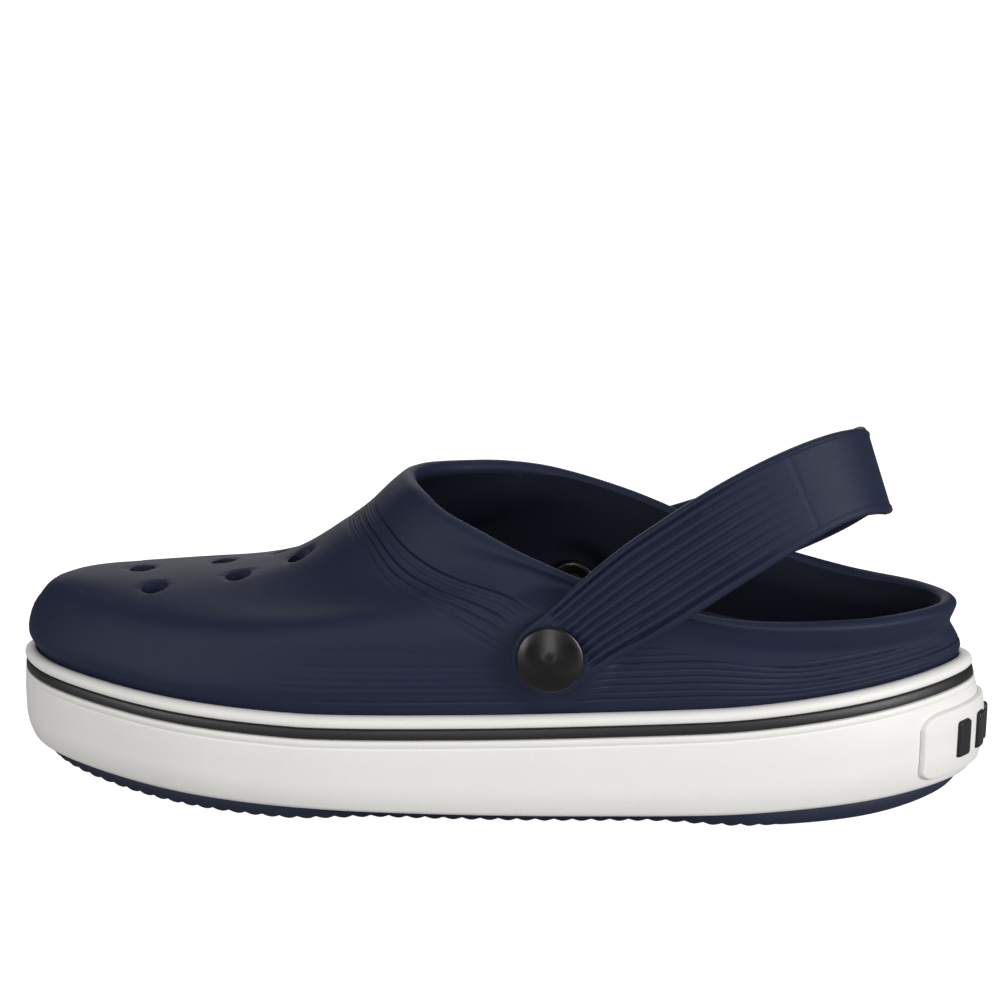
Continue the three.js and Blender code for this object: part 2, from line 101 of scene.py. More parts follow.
# --------------------- sizes of the detail, in mm
STEP_DROP = 3.2  # from the stripe down to the fine step line of the sidewall
EDGE_BEVEL = 3  # from the outsole's edge to its flat tread
NUB_PITCH, NUB_HEIGHT = 4.6, 0.7
SIDE_LINES, COLLAR_LINES, TOE_LINES = 8, 5, 9
RIB_COUNT, RIB_START, RIB_END = 8, (5.5, 9), (64, 81)  # where they start and end from a rivet
PANEL_LINE, PANEL_DEPTH = 83.5, 0.3  # the line before the strap's back panel, from a rivet
BADGE_CORNER, BAR_CORNER = 4.0, 1.2
ROLL_SHARE = 1 - 0.6 / 8  # of the upper's profile, where the collar starts to roll

# How finely the surfaces are divided
ROUND_COUNT, TOOTHED_COUNT, TURNED_COUNT, HOLE_COUNT = 400, 1400, 96, 48
STRAP_STEPS, LOBE_STEPS = 460, 25

# The sole edge from the toe tip along the outer side to the heel and back along the inner side, as
# shares of the half length and half width, and the collar at the same stations: share along the
# opening from its back, share of its half width, share of the collar's height.
EDGE_SHARES = (
    (1, -0.17), (0.945, 0.19), (0.8, 0.49), (0.58, 0.76), (0.31, 0.9),
    (0.035, 0.91), (-0.24, 0.855), (-0.52, 0.75), (-0.775, 0.535), (-0.94, 0.22),
    (-1, -0.1), (-0.94, -0.42), (-0.775, -0.65), (-0.52, -0.76), (-0.24, -0.81),
    (0.035, -0.87), (0.31, -0.97), (0.56, -0.99), (0.775, -0.84), (0.925, -0.54),
)
RIM_SHARES = (
    (1, -0.06, 1), (0.99, 0.22, 0.99), (0.965, 0.5, 0.94), (0.92, 0.72, 0.8),
    (0.845, 0.87, 0.645), (0.745, 0.96, 0.47), (0.6, 1, 0.24), (0.4, 0.95, 0.035),
    (0.19, 0.71, -0.01), (0.05, 0.32, -0.01), (0, -0.1, -0.01), (0.05, -0.5, 0),
    (0.19, -0.8, 0.05), (0.4, -0.92, 0.28), (0.6, -0.95, 0.62), (0.745, -0.9, 0.82),
    (0.845, -0.82, 0.9), (0.92, -0.69, 0.945), (0.965, -0.5, 0.98), (0.99, -0.3, 0.995),
)
# Upper profiles from the sole edge to the collar: share across, millimetres outwards, share up.
TOE_PROFILE = (
    (0, 0, 0), (0, 2.4, 0.1), (0.018, 1, 0.255), (0.1, 0, 0.38), (0.38, 0, 0.43),
    (0.65, 0, 0.51), (0.845, 0, 0.735), (0.945, 0, 0.91), (1, 0, 1),
)
SIDE_PROFILE = (
    (0, 0, 0), (0, 1, 0.18), (0, 1.5, 0.4), (0.1, 1.5, 0.58), (0.4, 1.4, 0.72),
    (0.75, 1.6, 0.83), (1, 1.8, 0.9), (1, 2.6, 0.96), (1, 0, 1),
)
HEEL_PROFILE = (
    (0, 0, 0), (0.1, 1, 0.16), (0.3, 0.8, 0.3), (0.55, 0.6, 0.42), (0.8, 0.4, 0.54),
    (0.96, 1.2, 0.64), (1, 2.2, 0.76), (1, 2.6, 0.89), (1, 0, 1),
)


# --------------------- curves
def smooth(x, low, high):
    """0 below low, 1 above high, an S between them."""
    t = np.clip((np.asarray(x, float) - low) / (high - low), 0, 1)
    return t * t * (3 - 2 * t)


def mix(a, b, t):
    return a + (b - a) * t


def past(value, start, span):
    return np.maximum(0, (value - start) / span)


def unit(vectors):
    return vectors / np.linalg.norm(vectors, axis=-1, keepdims=True)


def run_along(points):
    """The distance covered at each point of a line."""
    return np.concatenate([[0], np.cumsum(np.linalg.norm(np.diff(points, axis=0), axis=1))])


def hermite(p0, p1, p2, p3, t):
    """A uniform Catmull-Rom piece from p1 to p2, and its slope."""
    m1, m2 = (p2 - p0) / 2, (p3 - p1) / 2
    a, b = 2 * p1 - 2 * p2 + m1 + m2, -3 * p1 + 3 * p2 - 2 * m1 - m2
    return ((a * t + b) * t + m1) * t + p1, (3 * a * t + 2 * b) * t + m1


def closed_curve(points, u):
    """Points and slopes of a closed Catmull-Rom curve at shares u of the way round."""
    points = np.asarray(points, float)
    count = len(points)
    p = (np.asarray(u, float) % 1) * count
    i = np.floor(p).astype(int)
    t = (p - i)[..., None]
    return hermite(*(points[(i + k) % count] for k in (-1, 0, 1, 2)), t)


def open_curve(rows, share):
    """Points of open Catmull-Rom curves through rows[:, k], at common shares or one set each."""
    last = rows.shape[1] - 1
    ends = [2 * rows[:, :1] - rows[:, 1:2], rows, 2 * rows[:, -1:] - rows[:, -2:-1]]
    padded = np.concatenate(ends, axis=1)
    share = np.broadcast_to(share, (len(rows), np.shape(share)[-1]))
    p = np.clip(share, 0, 1) * last
    i = np.minimum(np.floor(p).astype(int), last - 1)
    pick = [np.take_along_axis(padded, (i + k)[..., None], axis=1) for k in range(4)]
    return hermite(*pick, (p - i)[..., None])[0]


EDGE_POINTS = np.array(EDGE_SHARES) * (HALF_LENGTH, HALF_WIDTH) + (MIDDLE_X, 0)
RIM_POINTS = np.array(
    [
        (
            THROAT_BACK_X + along * (THROAT_FRONT_X - THROAT_BACK_X),
            side * THROAT_HALF,
            COLLAR_DIP + up * (COLLAR_FRONT - COLLAR_DIP),
        )
        for along, side, up in RIM_SHARES
    ]
)


def edge(u, inset=0.0):
    """Points of the sole edge at u, moved inwards, as columns x and y."""
    p, slope = closed_curve(EDGE_POINTS, u)
    t = unit(slope)
    inset = np.asarray(inset, float)[..., None]
    return p + inset * np.stack([-t[..., 1], t[..., 0]], axis=-1)


def toe_share(x):
    return past(x, BALL_X, HALF_LENGTH - BALL_X)


def heel_share(x):
    return past(-x, -HEEL_FLAT_X, HALF_LENGTH + HEEL_FLAT_X)


def tread_z(x):
    return TOE_ROCKER * toe_share(x) ** 3.2 + HEEL_BEVEL * heel_share(x) ** 4


def midsole_bottom(x):
    return OUTSOLE_HEIGHT + TOE_SPRING * toe_share(x) ** 2 + HEEL_TUCK * heel_share(x) ** 1.6


def midsole_top(x):
    wedge = WEDGE_RISE * np.maximum(0, BALL_X - x)
    return MIDSOLE_TOP + TOE_SPRING * toe_share(x) ** 2 + wedge + HEEL_LIFT * heel_share(x) ** 1.6


def bed_top(x):
    return mix(BED_HEEL, BED_BALL, smooth(x, -70, 45)) + 0.5 * TOE_SPRING * toe_share(x) ** 2


def cup_floor(x):
    return bed_top(x) - BED_THICKNESS - GAP


def sidewall_inset(u, share):
    heel = smooth(-np.cos(2 * np.pi * u), 0.6, 1)
    lean = mix(SIDE_LEAN, HEEL_LEAN, heel)
    undercut = UNDERCUT * np.maximum(0, 1 - share / 0.3) ** 2
    return undercut + lean * past(share, 0.5, 0.5) ** 1.5


def sidewall(u, share, inset=0.0):
    """Points of the white sidewall at a share of its height."""
    xy = edge(u, inset + sidewall_inset(u, share))
    z = mix(midsole_bottom(xy[..., 0]), midsole_top(xy[..., 0]), share)
    return np.concatenate([xy, z[..., None]], axis=-1)


# --------------------- meshes
def add_piece(name, body, slot, node, verts, faces, look=None):
    """A smooth-shaded mesh from points in mm that rides on a body and stands for a CAD node."""
    mesh = bpy.data.meshes.new(name)
    mesh.from_pydata((np.asarray(verts) * MM).tolist(), [], [list(map(int, f)) for f in faces])
    mesh.validate()
    mesh.shade_smooth()
    mesh.materials.append(finish(look or slot))
    piece = bpy.data.objects.new(name, mesh)
    bpy.context.scene.collection.objects.link(piece)
    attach(piece, body)
    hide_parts(node)
    return piece


def ring_faces(rows, count, hoop=False):
    """Quads between rings of count points each, stacked in rows."""
    low = np.arange(rows if hoop else rows - 1)
    high = (low + 1) % rows
    i = np.arange(count)
    j = (i + 1) % count
    a, b = low[:, None] * count, high[:, None] * count
    return np.stack([a + i, a + j, b + j, b + i], axis=-1).reshape(-1, 4)


def end_caps(rows, count):
    """The two flat faces that close a stack of rings."""
    return [list(range(count))[::-1], [(rows - 1) * count + k for k in range(count)]]


def grid_faces(rows, columns):
    """Quads of an open grid of rows by columns points."""
    a = np.arange(rows - 1)[:, None] * columns + np.arange(columns - 1)
    return np.stack([a, a + 1, a + columns + 1, a + columns], axis=-1).reshape(-1, 4)


def strip_cap(count, start, flip):
    """Quads that close a ring by joining each point to the one across from it."""
    faces = []
    for i in range(count // 2):
        corners = list(dict.fromkeys([i, i + 1, count - i - 1, (count - i) % count]))
        face = [start + k for k in corners]
        faces.append(face[::-1] if flip else face)
    return faces


def lens(inset, rows, columns, z_of):
    """A grid over the sole's plan, inside an inset that depends on x: points and faces, facing up.

    z_of(x, y, distance to the edge) gives the heights.
    """
    u = np.linspace(0, 1, 2400, endpoint=False)
    xy = edge(u, inset(edge(u)[:, 0]))
    tip, back = int(np.argmax(xy[:, 0])), int(np.argmin(xy[:, 0]))
    xy = np.roll(xy, -tip, axis=0)
    back = (back - tip) % len(u)
    outer, inner = xy[: back + 1][::-1], np.concatenate([xy[back:], xy[:1]])
    turn = np.linspace(0, np.pi, rows)
    x = mix(outer[0, 0], outer[-1, 0], (1 - np.cos(turn)) / 2)
    high = np.interp(x, np.maximum.accumulate(outer[:, 0]), outer[:, 1])
    low = np.interp(x, np.maximum.accumulate(inner[:, 0]), inner[:, 1])
    across = (1 - np.cos(np.linspace(0, np.pi, columns))) / 2
    y = low[:, None] + (high - low)[:, None] * across
    x = np.repeat(x[:, None], columns, axis=1)
    distance = np.minimum(y - low[:, None], high[:, None] - y)
    points = np.stack([x, y, z_of(x, y, distance)], axis=-1)
    return points.reshape(-1, 3), grid_faces(rows, columns)


def pivot_place():
    """The rivets' axis, as a matrix that turns Z along it."""
    return Matrix.Translation((PIVOT_X * MM, 0, PIVOT_Z * MM)) @ Matrix.Rotation(np.pi / 2, 4, "X")


def cut_holes(context, piece, holes):
    """Cuts round holes through a piece, each a matrix, a radius and a depth in mm."""
    before = len(piece.data.vertices)
    mesh = bpy.data.meshes.new("hole_cutters")
    cutters = bmesh.new()
    for place, radius, depth in holes:
        bmesh.ops.create_cone(
            cutters, cap_ends=True, segments=HOLE_COUNT, radius1=radius * MM,
            radius2=radius * MM, depth=depth * MM, matrix=place,
        )
    cutters.to_mesh(mesh)
    cutters.free()
    cutter = bpy.data.objects.new("hole_cutters", mesh)
    context.scene.collection.objects.link(cutter)
    cut = piece.modifiers.new("Holes", "BOOLEAN")
    cut.operation, cut.solver, cut.object = "DIFFERENCE", "EXACT", cutter
    graph = context.evaluated_depsgraph_get()
    done = bpy.data.meshes.new_from_object(piece.evaluated_get(graph))
    if len(done.vertices) < before // 2:
        raise RuntimeError(f"the holes emptied {piece.name}")
    piece.modifiers.clear()
    piece.data = done
    done.set_sharp_from_angle(angle=np.radians(50))
    bpy.data.objects.remove(cutter)


# --------------------- materials
def node_group(name, inputs, outputs):
    """An empty shader group with its sockets: lists of (name, type, default)."""
    group = bpy.data.node_groups.new(name, "ShaderNodeTree")
    for direction, sockets in (("INPUT", inputs), ("OUTPUT", outputs)):
        for label, kind, default in sockets:
            socket = group.interface.new_socket(
                name=label, in_out=direction, socket_type="NodeSocket" + kind
            )
            if default is not None:
                socket.default_value = default
    return group, group.nodes.new("NodeGroupInput"), group.nodes.new("NodeGroupOutput")


def add_node(tree, kind, **values):
    """A shader node with its properties, and its inputs where the name starts with in_."""
    node = tree.nodes.new("ShaderNode" + kind)
    for key, value in values.items():
        if key.startswith("in_"):
            node.inputs[key[3:].replace("_", " ")].default_value = value
        else:
            setattr(node, key, value)
    return node


def wire(tree, *links):
    """Links sockets, each from (node, output) to (node, input)."""
    for source, output, target, socket in links:
        tree.links.new(source.outputs[output], target.inputs[socket])


def moulded_grain():
    """Fine moulded grain: a mottled colour, an uneven roughness and a height."""
    if "Moulded Grain" in bpy.data.node_groups:
        return bpy.data.node_groups["Moulded Grain"]
    group, start, end = node_group(
        "Moulded Grain",
        [
            ("Colour", "Color", (0.02, 0.02, 0.03, 1)),
            ("Worn Colour", "Color", (0.05, 0.05, 0.07, 1)),
            ("Grain Scale", "Float", 1500.0),
            ("Mottle", "Float", 0.3),
            ("Roughness", "Float", 0.55),
        ],
        [("Colour", "Color", None), ("Roughness", "Float", None), ("Height", "Float", None)],
    )
    place = add_node(group, "TexCoord")
    grain = add_node(group, "TexNoise", in_Detail=3.0, in_Roughness=0.6)
    cloud = add_node(group, "TexNoise", in_Scale=38.0, in_Detail=4.0, in_Roughness=0.55)
    fleck = add_node(group, "TexVoronoi", in_Scale=620.0)
    both = add_node(group, "Math", operation="MULTIPLY")
    speck = add_node(group, "MapRange", in_From_Min=0.06, in_From_Max=0.0, in_To_Max=0.12)
    amount = add_node(group, "Math", operation="ADD", use_clamp=True)
    colour = add_node(group, "Mix", data_type="RGBA")
    uneven = add_node(group, "MapRange", in_To_Min=-0.06, in_To_Max=0.08)
    rough = add_node(group, "Math", operation="ADD", use_clamp=True)
    wire(
        group,
        (place, "Object", grain, "Vector"), (place, "Object", cloud, "Vector"),
        (place, "Object", fleck, "Vector"), (start, "Grain Scale", grain, "Scale"),
        (cloud, "Fac", both, 0), (start, "Mottle", both, 1),
        (fleck, "Distance", speck, "Value"), (both, 0, amount, 0), (speck, "Result", amount, 1),
        (amount, 0, colour, "Factor"), (start, "Colour", colour, "A"),
        (start, "Worn Colour", colour, "B"), (grain, "Fac", uneven, "Value"),
        (start, "Roughness", rough, 0), (uneven, "Result", rough, 1),
        (colour, "Result", end, "Colour"), (rough, 0, end, "Roughness"),
        (grain, "Fac", end, "Height"),
    )
    return group


def moulded_material(name, colour, worn, grain_mm, mottle, roughness, bump, specular, turned):
    """A moulded finish with grain. Where it is turned, the turning marks stretch its sheen."""
    material = bpy.data.materials.new(name)
    material.use_nodes = True
    tree = material.node_tree
    tree.nodes.clear()
    grain = add_node(
        tree, "Group", node_tree=moulded_grain(), in_Colour=(*colour, 1),
        in_Worn_Colour=(*worn, 1), in_Grain_Scale=1000 / grain_mm, in_Mottle=mottle,
        in_Roughness=roughness,
    )
    shader = add_node(tree, "BsdfPrincipled", in_Specular_IOR_Level=specular)
    if turned:
        shader.inputs["Anisotropic"].default_value = turned
        rings = add_node(tree, "Tangent", direction_type="RADIAL", axis="Y")
        wire(tree, (rings, "Tangent", shader, "Tangent"))
    height = add_node(tree, "Bump", in_Strength=bump, in_Distance=0.0002)
    out = add_node(tree, "OutputMaterial")
    wire(
        tree,
        (grain, "Colour", shader, "Base Color"), (grain, "Roughness", shader, "Roughness"),
        (grain, "Height", height, "Height"), (height, "Normal", shader, "Normal"),
        (shader, "BSDF", out, "Surface"),
    )
    return material


# Each finish: name, colour, worn colour, grain in mm, mottle, roughness, bump, specular, turned.
FINISHES = {
    "navy_foam": ("Navy Foam", "navy", "navy_worn", 0.55, 0.55, 0.56, 0.5, 0.22, 0),
    # The same navy foam with a darker colour: painted shade for the inside of the shoe and the
    # footbed.
    "navy_shaded_inside": ("Navy Foam Shaded Inside", "inside_painted_shade", "navy", 1.1, 0.4, 0.75, 0.8, 0.2, 0),
    "white_foam": ("White Foam", "white", "white_worn", 0.8, 0.7, 0.5, 0.35, 0.5, 0),
    "black_rubber": ("Black Rubber", "black", "black_worn", 0.5, 0.5, 0.42, 0.3, 0.5, 0),
    "navy_tread": ("Navy Tread Rubber", "navy", "navy_worn", 0.7, 0.6, 0.5, 0.5, 0.5, 0),
    "black_plastic": (
        "Satin Black Plastic", "black", "black_worn", 0.35, 0.15, 0.22, 0.05, 0.38, 0.85,
    ),
}


def finish(kind):
    """The shared material of one finish, made the first time it is asked for."""
    name, colour, worn, *values = FINISHES[kind]
    chosen = bpy.context.scene.clog_colours
    colours = {key: getattr(chosen, key) for key in (colour, worn)}
    made = bpy.data.materials.get(name)
    return made or moulded_material(name, colours[colour], colours[worn], *values)


# --------------------- properties
class ClogSizes(bpy.types.PropertyGroup):
    """Sizes of the moulded detail."""

    groove_depth: FloatProperty(
        name="Groove Depth", description="Depth of the fine lines on the upper",
        default=0.00045, unit="LENGTH",
    )
    groove_pitch: FloatProperty(
        name="Groove Pitch", description="From one line above the sole to the next",
        default=0.0021, unit="LENGTH",
    )
    collar_line_pitch: FloatProperty(
        name="Collar Line Pitch", description="From one line under the collar to the next",
        default=0.0027, unit="LENGTH",
    )
    rib_depth: FloatProperty(
        name="Rib Depth", description="Depth between the ribs of the strap",
        default=0.001, unit="LENGTH",
    )
    tooth_pitch: FloatProperty(
        name="Tooth Pitch", description="From one tooth of the outsole's edge to the next",
        default=0.0055, unit="LENGTH",
    )
    tooth_height: FloatProperty(
        name="Tooth Height", description="Height of the outsole's edge teeth",
        default=0.0008, unit="LENGTH",
    )


class ClogColours(bpy.types.PropertyGroup):
    """Colours of the finishes."""

    navy: FloatVectorProperty(
        name="Navy", description="Foam colour",
        subtype="COLOR", default=(0.0095, 0.0138, 0.036),
    )
    navy_worn: FloatVectorProperty(
        name="Navy Bloom", description="Pale bloom on the foam",
        subtype="COLOR", default=(0.0145, 0.0195, 0.045),
    )
    # A darker copy of the navy foam for the inside of the upper and the footbed: painted shade,
    # since the inside is the same foam as the outside.
    inside_painted_shade: FloatVectorProperty(
        name="Painted Inner Shade", description="Inside of the upper and footbed",
        subtype="COLOR", default=(0.003, 0.0042, 0.01),
    )
    white: FloatVectorProperty(
        name="White", description="Midsole colour",
        subtype="COLOR", default=(0.78, 0.765, 0.74),
    )
    white_worn: FloatVectorProperty(
        name="White Shade", description="Greyer patches of the midsole",
        subtype="COLOR", default=(0.72, 0.705, 0.675),
    )
    black: FloatVectorProperty(
        name="Black", description="Stripe and rivet colour",
        subtype="COLOR", default=(0.006, 0.006, 0.0065),
    )
    black_worn: FloatVectorProperty(
        name="Black Bloom", description="Grey bloom on the black",
        subtype="COLOR", default=(0.018, 0.018, 0.019),
    )


# --------------------- sole
def wall_share(x, base, above):
    """A share of the sidewall's height, from a base line and millimetres above it."""
    height = midsole_top(x) - midsole_bottom(x)
    lines = {
        "bottom": 0.0,
        "under_stripe": 1 - (BEAD_HEIGHT + STRIPE_HEIGHT) / height,
        "over_stripe": 1 - BEAD_HEIGHT / height,
        "top": 1.0,
    }
    return lines[base] + above / height


class CLOG_OT_midsole(bpy.types.Operator):
    """Add the white midsole with its bead, stripe groove and cup"""

    bl_idname = "clog.midsole"
    bl_label = "Midsole"

    def execute(self, context):
        count = ROUND_COUNT
        u = np.arange(count) / count
        x = edge(u)[:, 0]
        cup = RAND_WIDTH
        groove = STRIPE_DEPTH + GAP
        rows = [
            ("bottom", 0, 6), ("bottom", 0, 0.9), ("bottom", 0.2, 0.4), ("bottom", 0.6, 0.1),
            ("bottom", 1.2, 0),
        ]
        rows += [("wall", share, 0) for share in np.linspace(0.07, 1, 16, endpoint=False)]
        rows += [
            ("under_stripe", -STEP_DROP, 0), ("under_stripe", -3.0, 0),
            ("under_stripe", -2.8, 0.22), ("under_stripe", -2.55, 0.3),
            ("under_stripe", -2.3, 0.22), ("under_stripe", -2.1, 0), ("under_stripe", -1.2, 0),
            ("under_stripe", -0.7, 0), ("under_stripe", -0.4, 0.12), ("under_stripe", -GAP, 0.4),
            ("under_stripe", -GAP, groove), ("over_stripe", GAP, groove),
            ("over_stripe", GAP, 0.3), ("over_stripe", 0.45, 0), ("over_stripe", 0.8, -0.25),
            ("over_stripe", 1.4, -0.45), ("over_stripe", 2.0, -0.5), ("top", -1.1, -0.35),
            ("top", -0.65, -0.05), ("top", -0.3, 0.4), ("top", -0.08, 0.9), ("top", 0, 1.4),
            ("top", 0, cup - 0.7), ("top", -0.12, cup - 0.25), ("top", -0.6, cup), ("top", -6, cup),
        ]
        rings = []
        for base, above, inset in rows:
            if base == "wall":
                share = wall_share(x, "under_stripe", -STEP_DROP) * above
            else:
                share = wall_share(x, base, above)
            if base == "top" and inset >= cup:
                xy = edge(u, inset + sidewall_inset(u, 1.0))
                z = midsole_top(xy[:, 0]) + above
                rings.append(np.column_stack([xy, z]))
            else:
                rings.append(sidewall(u, share, inset))
        floor = edge(u, cup + sidewall_inset(u, 1.0))
        rings.append(np.column_stack([floor, cup_floor(floor[:, 0])]))
        faces = [*ring_faces(len(rings), count)]
        faces += strip_cap(count, 0, True) + strip_cap(count, (len(rings) - 1) * count, False)
        verts = np.concatenate(rings)
        add_piece("midsole_foam", "shoe", "white_foam", "midsole", verts, faces)
        return {"FINISHED"}


class CLOG_OT_pinstripe(bpy.types.Operator):
    """Add the black stripe that lies in the midsole's groove"""

    bl_idname = "clog.pinstripe"
    bl_label = "Pinstripe"

    def execute(self, context):
        count = ROUND_COUNT
        u = np.arange(count) / count
        x = edge(u)[:, 0]
        rows = (
            ("under_stripe", 0, STRIPE_DEPTH), ("under_stripe", 0, 0.35),
            ("under_stripe", 0.15, 0.15), ("under_stripe", 0.5, 0.02), ("under_stripe", 1.5, 0),
            ("over_stripe", -0.5, 0.02), ("over_stripe", -0.15, 0.15), ("over_stripe", 0, 0.35),
            ("over_stripe", 0, STRIPE_DEPTH),
        )
        rings = [sidewall(u, wall_share(x, base, above), inset) for base, above, inset in rows]
        verts, faces = np.concatenate(rings), ring_faces(len(rings), count, hoop=True)
        add_piece("pinstripe_band", "shoe", "black_rubber", "pinstripe", verts, faces)
        return {"FINISHED"}


def outsole_inset(x):
    arch = smooth(ARCH_FRONT_X - x, 0, ARCH_EASE) * smooth(x - ARCH_BACK_X, 0, ARCH_EASE)
    return OUTSOLE_INSET + ARCH_INSET * arch


class CLOG_OT_outsole(bpy.types.Operator):
    """Add the outsole with its toothed edge and grooved tread"""

    bl_idname = "clog.outsole"
    bl_label = "Outsole"

    def execute(self, context):
        sizes = context.scene.clog_sizes
        pitch, tooth = sizes.tooth_pitch / MM, sizes.tooth_height / MM
        count = TOOTHED_COUNT
        u = np.arange(count) / count
        middle = edge(u)
        x = middle[:, 0]
        run = run_along(middle)
        turns = round(run[-1] / pitch)
        wave = np.abs(np.sin(np.pi * turns * run / run[-1]))
        toothed = tooth * (1 - wave) * smooth(x, -92, -78)
        rows = (
            (EDGE_BEVEL + TREAD_BORDER, 0, 0.02), (EDGE_BEVEL + 2.2, 0, 0.3),
            (EDGE_BEVEL + 0.6, 0, 0.8), (2.6, 0.02, 1), (1.9, 0.08, 0.8), (1.2, 0.25, 0.35),
            (0.75, 0.6, 0), (0.6, 0.85, 0), (0.8, 1, 0), (6, 1, 0),
        )
        rings = []
        for inset, up, notch in rows:
            xy = edge(u, inset + outsole_inset(x))
            low, high = tread_z(xy[:, 0]), midsole_bottom(xy[:, 0]) - GAP
            z = mix(low, high, up) + notch * toothed
            rings.append(np.column_stack([xy, z]))
        verts = np.concatenate(rings)
        faces = [*ring_faces(len(rings), count)]

        def tread(x, y, distance):
            from_groove = np.abs((x + TREAD_PITCH / 2) % TREAD_PITCH - TREAD_PITCH / 2)
            from_slit = np.abs(x % TREAD_PITCH - TREAD_PITCH / 2)
            groove = 1 - smooth(from_groove, TREAD_GROOVE / 2 - 0.4, TREAD_GROOVE / 2 + 0.4)
            slit = 0.3 * (1 - smooth(from_slit, 0.3, 0.9))
            inside = smooth(distance, 0.4, 1.4)
            return tread_z(x) + 0.01 + TREAD_DEPTH * np.maximum(groove, slit) * inside

        def margin(x):
            return EDGE_BEVEL + TREAD_BORDER - 0.2 + outsole_inset(x)

        bed, bed_faces = lens(margin, 900, 60, tread)
        faces += [f[::-1] for f in (bed_faces + len(verts))]
        verts = np.concatenate([verts, bed])
        add_piece("outsole_tread", "shoe", "navy_tread", "outsole", verts, faces)
        return {"FINISHED"}


class CLOG_OT_footbed(bpy.types.Operator):
    """Add the loose footbed with its raised edge and rows of small nubs"""

    bl_idname = "clog.footbed"
    bl_label = "Footbed"

    def execute(self, context):
        inset = RAND_WIDTH + GAP + WALL + 2 * GAP

        def surface(x, y, distance):
            rise = 1.6 * (1 - smooth(distance, 0, 16)) ** 2
            row = np.round(x / NUB_PITCH)
            across = (y + NUB_PITCH / 2 * (row % 2)) / NUB_PITCH
            from_nub = np.hypot(x - NUB_PITCH * row, NUB_PITCH * (across - np.round(across)))
            nub = NUB_HEIGHT * (1 - smooth(from_nub, 0.5, 1.7)) * smooth(distance, 3, 6)
            drop = 1.4 * (1 - smooth(distance, 0, 1.6)) ** 2
            return bed_top(x) + rise + nub - drop

        def margin(x):
            return inset + SIDE_LEAN + 0 * x

        verts, faces = lens(margin, 520, 130, surface)
        under, under_faces = lens(margin, 120, 12, lambda x, y, d: cup_floor(x) + GAP)
        faces = [*faces, *[f[::-1] for f in under_faces + len(verts)]]
        verts = np.concatenate([verts, under])
        # The footbed's colour is the darker inside navy: painted shade inside the shoe.
        add_piece("footbed_foam", "shoe", "navy_foam", "footbed", verts, faces, "navy_shaded_inside")
        return {"FINISHED"}


# --------------------- upper
def upper_rows(u):
    """Control points of the upper's outer face at each u, from the sole edge to the collar."""
    foot_xy = edge(u, RAND_WIDTH + GAP + sidewall_inset(u, 1.0))
    foot = np.column_stack([foot_xy, midsole_top(foot_xy[:, 0])])
    out = np.column_stack([edge(u, -1.0) - edge(u, 0.0), 0 * u])
    top = closed_curve(RIM_POINTS, u)[0]
    front = smooth(np.cos(2 * np.pi * u), -0.1, 0.75)[:, None, None]
    back = smooth(-np.cos(2 * np.pi * u), 0.35, 0.95)[:, None, None]
    shares = [np.array(p, float)[None] for p in (SIDE_PROFILE, TOE_PROFILE, HEEL_PROFILE)]
    blend = mix(mix(shares[0], shares[1], front), shares[2], back)
    across, push, up = (blend[..., k : k + 1] for k in range(3))
    rows = mix(foot[:, None], top[:, None], across) + out[:, None] * push
    rows[..., 2:] = mix(foot[:, None, 2:], top[:, None, 2:], up)
    return rows


def skin(u):
    """A dense outer face with its shoulder eased, its normals and its distances from the collar."""
    shares = np.linspace(0, 1, 301)
    dense = ease_shoulder(open_curve(upper_rows(u), shares), u, shares)
    along = np.roll(dense, -1, axis=0) - np.roll(dense, 1, axis=0)
    normal = unit(np.cross(along, np.gradient(dense, axis=1)))
    length = np.linalg.norm(np.diff(dense, axis=1), axis=-1)
    run = np.concatenate([np.zeros((len(u), 1)), np.cumsum(length, axis=1)], axis=1)
    return shares, dense, normal, run[:, -1:] - run


def collar_pitch(u, sizes):
    """From one line under the collar to the next at each station, in mm."""
    turn = np.minimum(u, 1 - u)[:, None]
    pitch = mix(mix(0.8, 1.0, smooth(turn, 0.1, 0.18)), 1.27, smooth(turn, 0.18, 0.24))
    return pitch * sizes.collar_line_pitch / MM


def row_distances(u, roll_distance, whole, sizes):
    """Distances from the collar for each row of the outer face, so that rows follow the lines."""
    pitch = collar_pitch(u, sizes)
    squeeze = np.minimum(1, (whole - 4) / (LINE_START + 5 * pitch + 4))
    top, bottom = (LINE_START - pitch) * squeeze, (LINE_START + 4.8 * pitch) * squeeze
    upper = roll_distance + (top - roll_distance) * np.linspace(0, 1, 28)[:-1]
    middle = top + (bottom - top) * np.linspace(0, 1, 94)[:-1]
    lower = bottom + (whole - bottom) * np.sin(np.linspace(0, np.pi / 2, 82))
    return np.concatenate([upper, middle, lower], axis=1)[:, ::-1]


def line_set(position, count, width, step=0.0):
    """Depth, 0 to 1, of count fine lines at whole values of position, each slightly different."""
    nearest = np.clip(np.round(position), 0, count - 1)
    away = position - nearest
    uneven = 0.72 + 0.28 * np.cos(2.4 * nearest + 0.6)
    dip = (1 - smooth(np.abs(away), 0, width)) * uneven
    ledge = step * smooth(away, 0, 0.9) * (1 - smooth(away, 0.55, 1)) * (away < 1)
    return np.maximum(dip, ledge)


